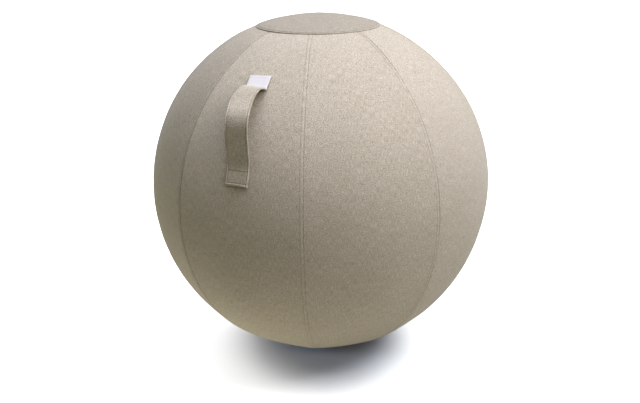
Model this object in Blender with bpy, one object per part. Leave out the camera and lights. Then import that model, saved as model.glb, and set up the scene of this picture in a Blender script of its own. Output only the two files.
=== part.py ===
"""Fabric-covered sitting ball: sewn cover of gores with a top cap and a base disc,
a carrying strap, a rear zip and an inflated inner ball with its valve."""

import math

import bmesh
import bpy
from mathutils import Matrix, Vector

for old in list(bpy.data.objects):
    bpy.data.objects.remove(old, do_unlink=True)

MM = 0.001
RAD = math.radians

# ------------------------------------------------------------------ driving dimensions
BALL_R = 325 * MM            # outer radius of the inflated, covered ball
FLAT_R = 70 * MM             # radius of the flat it sits on
COVER_T = 2.0 * MM           # cover cloth with its lining
SEAM_HALF_GAP = 0.2 * MM     # half the gap left between two neighbouring gores
GORES = 8
GAP = 0.3 * MM               # clearance between pieces that touch

CAP_ANGLE = 20.9             # half angle of the top cap, degrees from the pole
CAP_LAP = 1.4                # how far the gores run on under the cap, degrees
CAP_T = 1.9 * MM
BASE_RIM_R = 115.6 * MM      # outer radius of the base disc
BASE_T = 2.5 * MM

STRAP_W = 42 * MM
STRAP_T = 3.4 * MM
STRAP_MID = (60.5, -21.66)   # polar angle and azimuth of the strap's middle, degrees
STRAP_LEAN = 1.24            # lean of the strap on its gore, degrees
STRAP_START = -14.58         # upper stitch line, degrees from the strap's middle
STRAP_TOP_TAIL = 26 * MM     # sewn upper end, under the label
STRAP_SPAN = 147 * MM        # free stretch between the two sewn ends, along the ball
STRAP_LOW_TAIL = 26.5 * MM   # sewn lower end
# The bow's face turns from facing up and back at the upper stitch line to lying on the ball again.
BOW_LIFT_OFF = 132.0         # slope of the face at the upper stitch line, degrees up
BOW_SHOULDER = 57.0          # slope of the straight stretch over the fingers
BOW_FALL = -8.3              # slope of the straight stretch that falls to the lower end
BOW_RISE_L, BOW_TOP_L, BOW_TURN_L, BOW_FALL_L, BOW_LAND_L = 34.5 * MM, 28 * MM, 63.5 * MM, 35.5 * MM, 19.5 * MM
BOW_SWAY = (-4.0 * MM, 3.3 * MM)   # sideways sway of the rising and of the turning stretch
BOW_FLARE = 0.065            # how much wider the strap is below than at its upper end
LABEL_W = 41.4 * MM
LABEL_L = 26 * MM
LABEL_T = 0.8 * MM

ZIP_SEAM = 135.0             # azimuth of the seam that holds the zip, degrees
ZIP_TOP, ZIP_BOTTOM = 60.0, 115.4   # polar angles of the ends of the zip's slit
ZIP_STEP = 2.77              # row spacing along the zip, degrees
SLIT_HALF = 6.2 * MM
TAPE_IN, TAPE_OUT = 0.75 * MM, 14 * MM
TAPE_LEVELS = (-2.95 * MM, -2.40 * MM)
COIL_IN, COIL_OUT = 0.45 * MM, 3.0 * MM
COIL_LEVELS = (-2.10 * MM, 0.10 * MM)
SLIDER_AT = 113.2            # polar angle of the parked slider
SLIDER_L = 11 * MM
PULL_L = 25 * MM
PULL_PIVOT_LEVEL = 2.75 * MM

BLADDER_R = BALL_R - 4.6 * MM
BLADDER_T = 1.1 * MM
BLADDER_FLOOR = BASE_T + 0.6 * MM
VALVE_AT = (96.0, 117.0)     # polar angle and azimuth of the valve
VALVE_SEAT_R = 13 * MM
VALVE_SEAT_DEPTH = 3 * MM
VALVE_HOLE_R = 4.6 * MM
VALVE_NECK = 18 * MM

CENTRE_Z = math.sqrt(BALL_R**2 - FLAT_R**2)
CENTRE = Vector((0, 0, CENTRE_Z))


# ------------------------------------------------------------------ directions on the ball
def out_dir(theta, phi):
    """Outward normal at a polar angle and an azimuth (0 is the front, -Y)."""
    t, p = RAD(theta), RAD(phi)
    return Vector((math.sin(t) * math.sin(p), -math.sin(t) * math.cos(p), math.cos(t)))


def down_dir(theta, phi):
    t, p = RAD(theta), RAD(phi)
    return Vector((math.cos(t) * math.sin(p), -math.cos(t) * math.cos(p), -math.sin(t)))


def side_dir(phi):
    return Vector((math.cos(RAD(phi)), math.sin(RAD(phi)), 0))


def spread(a, b, step):
    n = max(1, round(abs(b - a) / step))
    return [a + (b - a) * i / n for i in range(n + 1)]


def smooth(x):
    x = min(1.0, max(0.0, x))
    return x * x * (3 - 2 * x)


# ------------------------------------------------------------------ materials and objects
def material(name, colour, rough, metal=0.0):
    m = bpy.data.materials.new(name)
    m.use_nodes = True
    b = m.node_tree.nodes["Principled BSDF"]
    b.inputs["Base Color"].default_value = (*colour, 1)
    b.inputs["Roughness"].default_value = rough
    b.inputs["Metallic"].default_value = metal
    return m


CLOTH = material("melange_cloth", (0.36, 0.31, 0.25), 0.9)
BASE_GRIP = material("base_grip", (0.06, 0.055, 0.05), 0.7)
LABEL = material("label_white", (0.85, 0.85, 0.83), 0.8)
TAPE = material("zip_tape", (0.25, 0.22, 0.18), 0.85)
COIL = material("zip_coil", (0.22, 0.19, 0.16), 0.45)
ZINC = material("zip_metal", (0.55, 0.54, 0.52), 0.35, 1.0)
PVC = material("bladder_pvc", (0.42, 0.44, 0.46), 0.4)
PLUG = material("valve_plug", (0.85, 0.85, 0.82), 0.45)


def pivot(name, at):
    e = bpy.data.objects.new(name, None)
    e.empty_display_size = 0.03
    e.location = at
    bpy.context.scene.collection.objects.link(e)
    return e


def finish(name, bm, mat, parent, smooth_angle=40):
    """Close a bmesh given in world coordinates into one named object under its pivot."""
    bmesh.ops.remove_doubles(bm, verts=bm.verts, dist=1e-7)
    bmesh.ops.recalc_face_normals(bm, faces=bm.faces)
    if bm.calc_volume(signed=True) < 0:
        bmesh.ops.reverse_faces(bm, faces=bm.faces)
    bmesh.ops.translate(bm, vec=-parent.location, verts=bm.verts)
    me = bpy.data.meshes.new(name)
    bm.to_mesh(me)
    bm.free()
    me.materials.append(mat)
    me.shade_smooth()
    me.set_sharp_from_angle(angle=RAD(smooth_angle))
    ob = bpy.data.objects.new(name, me)
    ob.parent = parent
    bpy.context.scene.collection.objects.link(ob)
    return ob


def shell(outer, inner):
    """A closed solid between two grids of points with the same rows and columns."""
    bm = bmesh.new()
    o = [[bm.verts.new(p) for p in row] for row in outer]
    i = [[bm.verts.new(p) for p in row] for row in inner]
    rows, cols = len(outer), len(outer[0])
    for r in range(rows - 1):
        for c in range(cols - 1):
            bm.faces.new((o[r][c], o[r][c + 1], o[r + 1][c + 1], o[r + 1][c]))
            bm.faces.new((i[r][c], i[r + 1][c], i[r + 1][c + 1], i[r][c + 1]))
    for r in range(rows - 1):
        for c in (0, cols - 1):
            bm.faces.new((o[r][c], o[r + 1][c], i[r + 1][c], i[r][c]))
    for c in range(cols - 1):
        for r in (0, rows - 1):
            bm.faces.new((o[r][c], i[r][c], i[r][c + 1], o[r][c + 1]))
    return bm


def turned(profile, steps):
    """A solid turned about +Z from (radius, height) points that start and end on the axis."""
    bm = bmesh.new()
    vs = [bm.verts.new((r, 0, z)) for r, z in profile]
    es = [bm.edges.new(vs[k:k + 2]) for k in range(len(vs) - 1)]
    bmesh.ops.spin(bm, geom=vs + es, cent=(0, 0, 0), axis=(0, 0, 1), angle=2 * math.pi, steps=steps, use_duplicate=False)
    bmesh.ops.remove_doubles(bm, verts=bm.verts, dist=1e-6)
    return bm


def prism(outline, a, b):
    """A solid with an (x, z) outline run along y from a to b."""
    bm = bmesh.new()
    face = bm.faces.new([bm.verts.new((x, a, z)) for x, z in outline])
    ext = bmesh.ops.extrude_face_region(bm, geom=[face])
    bmesh.ops.translate(bm, vec=(0, b - a, 0), verts=[g for g in ext["geom"] if isinstance(g, bmesh.types.BMVert)])
    bmesh.ops.recalc_face_normals(bm, faces=bm.faces)
    return bm


def joined(first, others, operation="UNION"):
    """The boolean union (or difference) of bmeshes, as one new bmesh."""
    made = []
    for bm in [first, *others]:
        bmesh.ops.recalc_face_normals(bm, faces=bm.faces)
        me = bpy.data.meshes.new("shape")
        bm.to_mesh(me)
        bm.free()
        ob = bpy.data.objects.new("shape", me)
        bpy.context.scene.collection.objects.link(ob)
        made.append(ob)
    for other in made[1:]:
        mod = made[0].modifiers.new("join", "BOOLEAN")
        mod.operation = operation
        mod.solver = "EXACT"
        mod.object = other
    evaluated = made[0].evaluated_get(bpy.context.evaluated_depsgraph_get())
    bm = bmesh.new()
    bm.from_mesh(evaluated.to_mesh())
    evaluated.to_mesh_clear()
    for ob in made:
        bpy.data.objects.remove(ob, do_unlink=True)
    return bm


# Pivots: the base stands still, everything else sinks with the seat.
BASE_PIVOT = pivot("base_pivot", (0, 0, 0))
BALL_PIVOT = pivot("ball_pivot", CENTRE)


# ------------------------------------------------------------------ cover gores
def slit(theta, phi):
    """Distance from the seam line to the gore's edge: wider along the zip."""
    if abs(phi - ZIP_SEAM) > 1:
        return SEAM_HALF_GAP
    ramp = 1.3
    open_part = smooth((theta - (ZIP_TOP - ramp)) / ramp) * smooth((ZIP_BOTTOM + ramp - theta) / ramp)
    return SEAM_HALF_GAP + (SLIT_HALF - SEAM_HALF_GAP) * open_part


def gore_rows(has_zip):
    top, last = CAP_ANGLE - CAP_LAP, 156.5
    if not has_zip:
        return spread(top, last, 7.6)
    a, b = ZIP_TOP - 1.3, ZIP_BOTTOM + 1.3
    return spread(top, a, 8)[:-1] + [a] + spread(ZIP_TOP, ZIP_BOTTOM, ZIP_STEP) + spread(b, last, 8)


def gore_columns(theta, left, right, zip_side):
    """Azimuths across a gore, with one extra line that covers the zip tape."""
    ring = BALL_R * math.sin(RAD(theta))
    a = left + math.degrees(math.asin(slit(theta, left) / ring))
    b = right - math.degrees(math.asin(slit(theta, right) / ring))
    n = 6
    if not zip_side:
        return [a + (b - a) * i / n for i in range(n + 1)]
    reach = math.degrees(math.asin(min(0.0165 / ring, 0.13)))
    if zip_side == "right":
        inner = right - reach
        return [a + (inner - a) * i / n for i in range(n + 1)] + [b]
    inner = left + reach
    return [a] + [inner + (b - inner) * i / n for i in range(n + 1)]


RIM_R = BASE_RIM_R + 0.4 * MM
step = 360 / GORES
for k in range(GORES):
    left = (k - 1) * step
    right = left + step
    zip_side = "right" if abs(right - ZIP_SEAM) < 1 else "left" if abs(left - ZIP_SEAM) < 1 else None
    outer, inner = [], []
    for theta in gore_rows(zip_side is not None):
        cols = gore_columns(theta, left, right, zip_side)
        outer.append([CENTRE + BALL_R * out_dir(theta, p) for p in cols])
        inner.append([CENTRE + (BALL_R - COVER_T) * out_dir(theta, p) for p in cols])
    # lower edge: an upright face just outside the base disc's rim
    for grid, radius in ((outer, BALL_R), (inner, BALL_R - COVER_T)):
        theta = 180 - math.degrees(math.asin(RIM_R / radius))
        cols = gore_columns(theta, left, right, zip_side)
        grid.append([CENTRE + radius * out_dir(theta, p) for p in cols])
    finish(f"cover_gore_{k + 1}", shell(outer, inner), CLOTH, BALL_PIVOT)


# ------------------------------------------------------------------ top cap
def cap_lift(theta):
    """The cap rises towards its rim to lie over the gores."""
    return (CAP_T + GAP) * smooth((theta - 12.5) / (CAP_ANGLE - CAP_LAP - 0.3 - 12.5))


cap_angles = [4, 8, 12.5, 14.5, 16.5, 18, CAP_ANGLE - CAP_LAP - 0.3, CAP_ANGLE]
profile = [(0, BALL_R)]
for t in cap_angles:
    r = BALL_R + cap_lift(t)
    profile.append((r * math.sin(RAD(t)), r * math.cos(RAD(t))))
for t in reversed(cap_angles):
    r = BALL_R + cap_lift(t) - CAP_T
    profile.append((r * math.sin(RAD(t)), r * math.cos(RAD(t))))
profile.append((0, BALL_R - CAP_T))
cap = turned(profile, 48)
bmesh.ops.translate(cap, vec=CENTRE, verts=cap.verts)
finish("top_cap", cap, CLOTH, BALL_PIVOT)

# ------------------------------------------------------------------ base disc
profile = [(0, 0), (FLAT_R, 0)]
rim_angle = math.degrees(math.asin(BASE_RIM_R / BALL_R))
flat_angle = math.degrees(math.asin(FLAT_R / BALL_R))
for t in spread(flat_angle, rim_angle, 2.2)[1:]:
    profile.append((BALL_R * math.sin(RAD(t)), CENTRE_Z - BALL_R * math.cos(RAD(t))))
inside = BALL_R - BASE_T
rim_inside = math.degrees(math.asin(BASE_RIM_R / inside))
flat_inside = math.degrees(math.acos((CENTRE_Z - BASE_T) / inside))
for t in spread(rim_inside, flat_inside, 2.2):
    profile.append((inside * math.sin(RAD(t)), CENTRE_Z - inside * math.cos(RAD(t))))
profile.append((0, BASE_T))
finish("base_disc", turned(profile, 48), BASE_GRIP, BASE_PIVOT)

# ------------------------------------------------------------------ carrying strap and label
mid_n = out_dir(*STRAP_MID)
mid_t, mid_b = down_dir(*STRAP_MID), side_dir(STRAP_MID[1])
lean = RAD(STRAP_LEAN)
strap_t = math.cos(lean) * mid_t + math.sin(lean) * mid_b
strap_b = -math.sin(lean) * mid_t + math.cos(lean) * mid_b
HANDLE_PIVOT = pivot("handle_pivot", CENTRE + BALL_R * mid_n)


def strap_point(s, level, across):
    """A point on the strap: s along the ball from the upper stitch line, level above the ball."""
    a = RAD(STRAP_START) + s / BALL_R
    return CENTRE + (BALL_R + level) * (math.cos(a) * mid_n + math.sin(a) * strap_t) + across * strap_b


def strap_path():
    """(s, level) along the strap's mid layer, from the upper sewn end to the lower one, and the
    length along the strap at each point."""
    lying = 0.35 * MM + STRAP_T / 2
    landed = 90 - STRAP_MID[0] - STRAP_START - math.degrees(STRAP_SPAN / BALL_R)
    x, y = (BALL_R + lying) * math.cos(RAD(STRAP_START)), (BALL_R + lying) * math.sin(RAD(STRAP_START))
    stretches = (
        (BOW_RISE_L, BOW_SHOULDER, 6), (BOW_TOP_L, BOW_SHOULDER, 3), (BOW_TURN_L, BOW_FALL, 10),
        (BOW_FALL_L, BOW_FALL, 4), (BOW_LAND_L, landed, 5),
    )
    facing, run, bow = BOW_LIFT_OFF, 0.0, [(0.0, lying)]
    at = [0.0]
    for length, ends, stations in stretches:
        steps = 12 * stations
        for k in range(steps):
            f = (k + 0.5) / steps
            # the first turn is quickest at the stitch line, the others are eased at both ends
            f = smooth(f) if run else 1 - (1 - f) ** 1.6
            a = RAD(90 - STRAP_MID[0] - facing - (ends - facing) * f)
            x -= math.sin(a) * length / steps
            y += math.cos(a) * length / steps
            if (k + 1) % 12 == 0:
                bow.append(((math.atan2(y, x) - RAD(STRAP_START)) * BALL_R, math.hypot(x, y) - BALL_R))
                at.append(run + length * (k + 1) / steps)
        facing, run = ends, run + length
    # land exactly on the lower stitch line
    ds, dh = STRAP_SPAN - bow[-1][0], lying - bow[-1][1]
    bow = [(s + ds * q / run, h + dh * q / run) for (s, h), q in zip(bow, at)]
    top = [-STRAP_TOP_TAIL, -0.66 * STRAP_TOP_TAIL, -0.33 * STRAP_TOP_TAIL]
    low = [STRAP_LOW_TAIL * f for f in (0.25, 0.5, 0.75, 1)]
    pts = [(s, lying) for s in top] + bow + [(STRAP_SPAN + s, lying) for s in low]
    return pts, [STRAP_TOP_TAIL + q for q in top + at + [run + s for s in low]]


def strap_across(q, x):
    """Where a point x across the strap's upper end lies at length q along it: the strap flares a
    little, and its free bow sways sideways."""
    flare = 1 + (BOW_FLARE + 0.015) * smooth((q - STRAP_TOP_TAIL) / (60 * MM)) - 0.015 * smooth((q - STRAP_TOP_TAIL - 60 * MM) / (90 * MM))
    rising = STRAP_TOP_TAIL + BOW_RISE_L + 7.5 * MM
    turning = STRAP_TOP_TAIL + BOW_RISE_L + BOW_TOP_L + BOW_TURN_L / 2
    sway = BOW_SWAY[0] * math.exp(-(((q - rising) / (26 * MM)) ** 2)) + BOW_SWAY[1] * math.exp(-(((q - turning) / (28 * MM)) ** 2))
    return x * flare + sway


def offset_path(path, by):
    """A path moved sideways, in (s, level), along its own mitred normals."""
    out = []
    for k, (s, h) in enumerate(path):
        before, after = path[max(0, k - 1)], path[min(len(path) - 1, k + 1)]
        d1 = Vector((s - before[0], h - before[1]))
        d2 = Vector((after[0] - s, after[1] - h))
        n1 = Vector((-d1.y, d1.x)).normalized() if d1.length else None
        n2 = Vector((-d2.y, d2.x)).normalized() if d2.length else None
        n1, n2 = n1 or n2, n2 or n1
        m = (n1 + n2).normalized()
        scale = by / max(0.6, m.dot(n1))
        out.append((s + m.x * scale, h + m.y * scale))
    return out


path, strap_run = strap_path()
upper, lower = offset_path(path, STRAP_T / 2), offset_path(path, -STRAP_T / 2)
across = [STRAP_W * f for f in (-0.5, 0, 0.5)]


def strap_grid(face):
    return [[strap_point(s, h, strap_across(q, x)) for x in across] for (s, h), q in zip(face, strap_run)]


finish(
    "handle_strap",
    shell(strap_grid(upper), strap_grid(lower)),
    CLOTH, HANDLE_PIVOT, 50,
)

label_low = 0.35 * MM + STRAP_T + GAP
stations = [-2.3 * MM - LABEL_L * f for f in (1, 0.75, 0.5, 0.25, 0)]
across = [LABEL_W * f for f in (-0.5, 0, 0.5)]
finish(
    "label_tab",
    shell([[strap_point(s, label_low + LABEL_T, x) for x in across] for s in stations], [[strap_point(s, label_low, x) for x in across] for s in stations]),
    LABEL, BALL_PIVOT,
)


# ------------------------------------------------------------------ zip in the rear seam
zip_b = side_dir(ZIP_SEAM)


def zip_point(theta, across, level):
    """A point beside the zip's centre plane, at a level over the cover's outer face."""
    r = math.sqrt((BALL_R + level) ** 2 - across**2)
    return CENTRE + r * out_dir(theta, ZIP_SEAM) + across * zip_b


zip_rows = spread(ZIP_TOP, ZIP_BOTTOM, ZIP_STEP)
tape_rows = [ZIP_TOP - 1.3] + zip_rows + [ZIP_BOTTOM + 1.3]
coil_rows = [ZIP_TOP + 0.9] + zip_rows[1:-1] + [ZIP_BOTTOM - 0.9]
for side, sign in (("left", -1), ("right", 1)):
    xs = [sign * (TAPE_IN + (TAPE_OUT - TAPE_IN) * f) for f in (0, 0.5, 1)]
    finish(
        f"zip_tape_{side}",
        shell([[zip_point(t, x, TAPE_LEVELS[1]) for x in xs] for t in tape_rows], [[zip_point(t, x, TAPE_LEVELS[0]) for x in xs] for t in tape_rows]),
        TAPE, BALL_PIVOT,
    )
    wide = COIL_OUT - COIL_IN
    section = [(COIL_IN + wide * f, COIL_LEVELS[1] - drop) for f, drop in ((0, 0.7 * MM), (0.25, 0), (0.75, 0), (1, 0.7 * MM))]
    finish(
        f"zip_coil_{side}",
        shell([[zip_point(t, sign * x, z) for x, z in section] for t in coil_rows], [[zip_point(t, sign * x, COIL_LEVELS[0]) for x, _ in section] for t in coil_rows]),
        COIL, BALL_PIVOT,
    )


def zip_frame(theta):
    """Local frame on the zip: x across, y down along the seam, z outwards."""
    n, t = out_dir(theta, ZIP_SEAM), down_dir(theta, ZIP_SEAM)
    m = Matrix((zip_b, t, n)).transposed().to_4x4()
    m.translation = CENTRE + BALL_R * n
    return m


def stop(name, theta):
    low, high = TAPE_LEVELS[1] + GAP, 0.75 * MM
    bm = prism([(-3.5 * MM, low), (3.5 * MM, low), (3.5 * MM, high - 0.8 * MM), (2.7 * MM, high), (-2.7 * MM, high), (-3.5 * MM, high - 0.8 * MM)], -1.5 * MM, 1.5 * MM)
    bmesh.ops.transform(bm, matrix=zip_frame(theta), verts=bm.verts)
    finish(name, bm, ZINC, BALL_PIVOT, 30)


stop("zip_top_stop", ZIP_TOP + 0.5)
stop("zip_bottom_stop", ZIP_BOTTOM - 0.5)

# slider: top plate with side flanges, bridge between the coils and bottom plate, and a bail
SLIDE_PIVOT = pivot("zip_slide_pivot", CENTRE)
plate_under, plate_over = 0.5 * MM, 1.5 * MM
foot_over, foot_under = -3.3 * MM, -4.1 * MM
half, flange, post = 4.5 * MM, 0.8 * MM, 0.18 * MM
outline = [
    (-half + 0.6 * MM, plate_over), (-half, plate_over - 0.5 * MM), (-half, -1.7 * MM), (-half + flange, -1.7 * MM), (-half + flange, plate_under),
    (-post, plate_under), (-post, foot_over), (-half + flange, foot_over), (-half + flange, foot_under),
    (half - flange, foot_under), (half - flange, foot_over), (post, foot_over), (post, plate_under),
    (half - flange, plate_under), (half - flange, -1.7 * MM), (half, -1.7 * MM), (half, plate_over - 0.5 * MM), (half - 0.6 * MM, plate_over),
]
body = prism(outline, -SLIDER_L / 2, SLIDER_L / 2)
for v in body.verts:
    if v.co.y < 0 and abs(v.co.x) > 2 * MM:
        v.co.x *= 0.93
bail_w, bail_half = 0.8 * MM, 3.7 * MM
arch = []
for a in range(0, 181, 20):
    arch.append((bail_half * math.cos(RAD(a)), 2.2 * MM + 2.8 * MM * math.sin(RAD(a))))
hole = []
for a in range(180, -1, -20):
    hole.append((2.3 * MM * math.cos(RAD(a)), 2.2 * MM + 1.7 * MM * math.sin(RAD(a))))
outline = [(bail_half, plate_over - 0.4 * MM)] + arch + [(-bail_half, plate_over - 0.4 * MM), (-2.3 * MM, plate_over - 0.4 * MM)] + hole + [(2.3 * MM, plate_over - 0.4 * MM)]
bail = prism(outline, -bail_w, bail_w)
bmesh.ops.rotate(bail, cent=(0, 0, 0), matrix=Matrix.Rotation(RAD(90), 3, "Z"), verts=bail.verts)
slider = joined(body, [bail])
bmesh.ops.transform(slider, matrix=zip_frame(SLIDER_AT), verts=slider.verts)
finish("zip_slider", slider, ZINC, SLIDE_PIVOT, 30)

# pull tab, hanging straight down from a cross bar under the bail
pull_at = zip_frame(SLIDER_AT) @ Vector((0, 0, PULL_PIVOT_LEVEL))
PULL_PIVOT = pivot("zip_pull_pivot", pull_at)
bar_r, arm_in, arm_out, window, tab_half, tab_t = 0.65 * MM, 1.7 * MM, 3.1 * MM, 7 * MM, 3.6 * MM, 0.6 * MM
outline = [(-arm_out, 0), (-arm_out, -window), (-tab_half, -window - 4 * MM)]
for a in range(180, 361, 20):
    outline.append((tab_half * math.cos(RAD(a)), -PULL_L + tab_half + tab_half * math.sin(RAD(a))))
outline += [(tab_half, -window - 4 * MM), (arm_out, -window), (arm_out, 0), (arm_in, 0), (arm_in, -window), (-arm_in, -window), (-arm_in, 0)]
tab = prism(outline, -tab_t, tab_t)
bar = bmesh.new()
bmesh.ops.create_cone(bar, cap_ends=True, segments=12, radius1=bar_r, radius2=bar_r, depth=2 * arm_out, matrix=Matrix.Rotation(RAD(90), 4, "Y"))
pull = joined(tab, [bar])
flat_out = Vector((out_dir(90, ZIP_SEAM)))
hang = Matrix((zip_b, -flat_out, Vector((0, 0, 1)))).transposed().to_4x4()
hang.translation = pull_at
bmesh.ops.transform(pull, matrix=hang, verts=pull.verts)
finish("zip_pull", pull, ZINC, PULL_PIVOT, 30)

# ------------------------------------------------------------------ inner ball and valve plug
seat_z = math.sqrt(BLADDER_R**2 - VALVE_SEAT_R**2)
floor_z = seat_z - VALVE_SEAT_DEPTH
seat_angle = math.degrees(math.asin(VALVE_SEAT_R / BLADDER_R))
neck_r, wall_r = VALVE_HOLE_R + 4.9 * MM, VALVE_SEAT_R + 1.5 * MM
inner_r = BLADDER_R - BLADDER_T
profile = [(0, -BLADDER_R)]
around = spread(180, seat_angle, 11)
for t in around[1:]:
    profile.append((BLADDER_R * math.sin(RAD(t)), BLADDER_R * math.cos(RAD(t))))
profile += [(VALVE_SEAT_R, floor_z), (VALVE_HOLE_R, floor_z), (VALVE_HOLE_R, seat_z - VALVE_NECK), (neck_r, seat_z - VALVE_NECK), (neck_r, floor_z - 1.5 * MM), (wall_r, floor_z - 1.5 * MM)]
wall_angle = math.degrees(math.asin(wall_r / inner_r))
profile.append((wall_r, inner_r * math.cos(RAD(wall_angle))))
for t in reversed(around[1:-1]):
    profile.append((inner_r * math.sin(RAD(t)), inner_r * math.cos(RAD(t))))
profile.append((0, -inner_r))
bladder = turned(profile, 28)
valve_turn = Vector((0, 0, 1)).rotation_difference(out_dir(*VALVE_AT)).to_matrix().to_4x4()
valve_turn.translation = CENTRE
for v in bladder.verts:
    inside_wall = v.co.length < BLADDER_R - BLADDER_T / 2
    v.co = valve_turn @ v.co
    v.co.z = max(v.co.z, BLADDER_FLOOR + (BLADDER_T if inside_wall else 0))
finish("bladder", bladder, PVC, BALL_PIVOT)

stem_r, tip_r, disc_r = VALVE_HOLE_R - 0.4 * MM, 2.6 * MM, VALVE_SEAT_R - 0.6 * MM
profile = [
    (0, floor_z + 1.7 * MM), (disc_r - 3 * MM, floor_z + 1.9 * MM), (disc_r - 0.6 * MM, floor_z + 1.6 * MM), (disc_r, floor_z + 1.0 * MM), (disc_r, floor_z + GAP),
    (stem_r, floor_z + GAP), (stem_r, floor_z - 9 * MM), (tip_r, floor_z - 14.5 * MM), (0, floor_z - 14.5 * MM),
]
plug = turned(profile, 24)
bmesh.ops.transform(plug, matrix=valve_turn, verts=plug.verts)
finish("valve_plug", plug, PLUG, BALL_PIVOT)
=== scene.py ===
"""Looks for the sitting ball: sewn melange cover with topstitched seams, lapped top cap,
carrying strap with a blank tab, grip base, rear coil zip and the inner ball."""

import math

import bpy
import numpy as np
from mathutils import Matrix, Vector


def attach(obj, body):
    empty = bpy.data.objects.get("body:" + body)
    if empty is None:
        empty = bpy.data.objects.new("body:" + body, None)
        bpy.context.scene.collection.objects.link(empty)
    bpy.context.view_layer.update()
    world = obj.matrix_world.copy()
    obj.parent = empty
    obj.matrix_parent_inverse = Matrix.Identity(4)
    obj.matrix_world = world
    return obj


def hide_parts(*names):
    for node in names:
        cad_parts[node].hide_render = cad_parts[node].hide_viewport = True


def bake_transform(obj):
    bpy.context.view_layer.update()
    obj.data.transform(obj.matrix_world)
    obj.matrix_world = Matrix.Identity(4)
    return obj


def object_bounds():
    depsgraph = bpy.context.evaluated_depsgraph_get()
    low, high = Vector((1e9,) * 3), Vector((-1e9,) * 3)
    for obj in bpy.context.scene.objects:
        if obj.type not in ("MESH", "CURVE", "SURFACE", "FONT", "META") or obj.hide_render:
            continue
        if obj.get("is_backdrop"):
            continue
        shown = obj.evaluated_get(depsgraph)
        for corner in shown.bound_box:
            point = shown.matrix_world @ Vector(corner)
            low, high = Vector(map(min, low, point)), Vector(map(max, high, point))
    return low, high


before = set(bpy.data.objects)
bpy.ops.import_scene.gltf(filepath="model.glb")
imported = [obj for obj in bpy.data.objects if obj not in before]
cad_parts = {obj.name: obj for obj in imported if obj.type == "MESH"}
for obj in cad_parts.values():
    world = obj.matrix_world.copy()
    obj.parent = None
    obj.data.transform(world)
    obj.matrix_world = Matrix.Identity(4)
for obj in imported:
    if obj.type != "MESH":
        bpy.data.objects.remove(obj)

cad_box = [list(map(float, c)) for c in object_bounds()]

MM = 0.001
RAD = math.radians
R = 0.325
FLAT_R = 0.070
ZC = math.sqrt(R * R - FLAT_R * FLAT_R)
CENTRE = np.array([0.0, 0.0, ZC])
CAP = RAD(20.9)
GORE_TOP = RAD(19.5)
CROWN = 2.2 * MM
RIDGE = 2.0 * MM
RIM_R = 0.1160
ZIP_SEAM = RAD(135.0)
ZIP_TOP, ZIP_BOTTOM = RAD(60.0), RAD(115.4)
SLIT = 6.2 * MM
STITCH_ROW = 6.0 * MM          # the topstitched row beside each seam, on the side its allowance is folded to
STITCH_PITCH = 3.6 * MM


# ------------------------------------------------------------------ small helpers
def out_dir(t, p):
    t, p = np.broadcast_arrays(np.asarray(t, float), np.asarray(p, float))
    return np.stack([np.sin(t) * np.sin(p), -np.sin(t) * np.cos(p), np.cos(t)], -1)


def down_dir(t, p):
    t, p = np.broadcast_arrays(np.asarray(t, float), np.asarray(p, float))
    return np.stack([np.cos(t) * np.sin(p), -np.cos(t) * np.cos(p), -np.sin(t)], -1)


def side_dir(p):
    p = np.asarray(p, float)
    return np.stack([np.cos(p), np.sin(p), np.zeros_like(p)], -1)


def smooth(x):
    x = np.clip(x, 0, 1)
    return x * x * (3 - 2 * x)


def bell(x, at, wide):
    return np.exp(-(((x - at) / wide) ** 2))


def unit(v):
    return v / np.linalg.norm(v, axis=-1, keepdims=True)


def mesh_object(name, verts, faces, uv, material, sharp=None, painted_shading=None):
    """A mesh object from an (n, 3) array, a list of (m, k) index arrays and uv per vertex. painted_shading,
    from 0 to 1 per vertex, is how much painted shade a point gets in a seam, beside a stitch or along an
    edge, and below 0 how much painted highlight it gets on a fold."""
    me = bpy.data.meshes.new(name)
    verts = np.asarray(verts, np.float32)
    loops = np.concatenate([f.ravel() for f in faces]).astype(np.int32)
    sizes = np.concatenate([np.full(len(f), f.shape[1]) for f in faces]).astype(np.int32)
    starts = np.concatenate([[0], np.cumsum(sizes)[:-1]]).astype(np.int32)
    me.vertices.add(len(verts))
    me.vertices.foreach_set("co", verts.ravel())
    me.loops.add(len(loops))
    me.loops.foreach_set("vertex_index", loops)
    me.polygons.add(len(sizes))
    me.polygons.foreach_set("loop_start", starts)
    me.update(calc_edges=True)
    layer = me.uv_layers.new(name="UVMap")
    layer.data.foreach_set("uv", np.asarray(uv, np.float32)[loops].ravel())
    held = me.attributes.new("painted_shading", "FLOAT", "POINT")
    held.data.foreach_set("value", np.zeros(len(verts), np.float32) if painted_shading is None else np.asarray(painted_shading, np.float32).ravel())
    me.validate()
    me.shade_smooth()
    if sharp:
        me.set_sharp_from_angle(angle=RAD(sharp))
    me.materials.append(material)
    ob = bpy.data.objects.new(name, me)
    bpy.context.scene.collection.objects.link(ob)
    return ob


def grid_faces(ids, wrap):
    a = ids
    b = np.roll(ids, -1, axis=1) if wrap else None
    left, right = (a, b) if wrap else (a[:, :-1], a[:, 1:])
    return np.stack([left[:-1], right[:-1], right[1:], left[1:]], -1).reshape(-1, 4)


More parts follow.
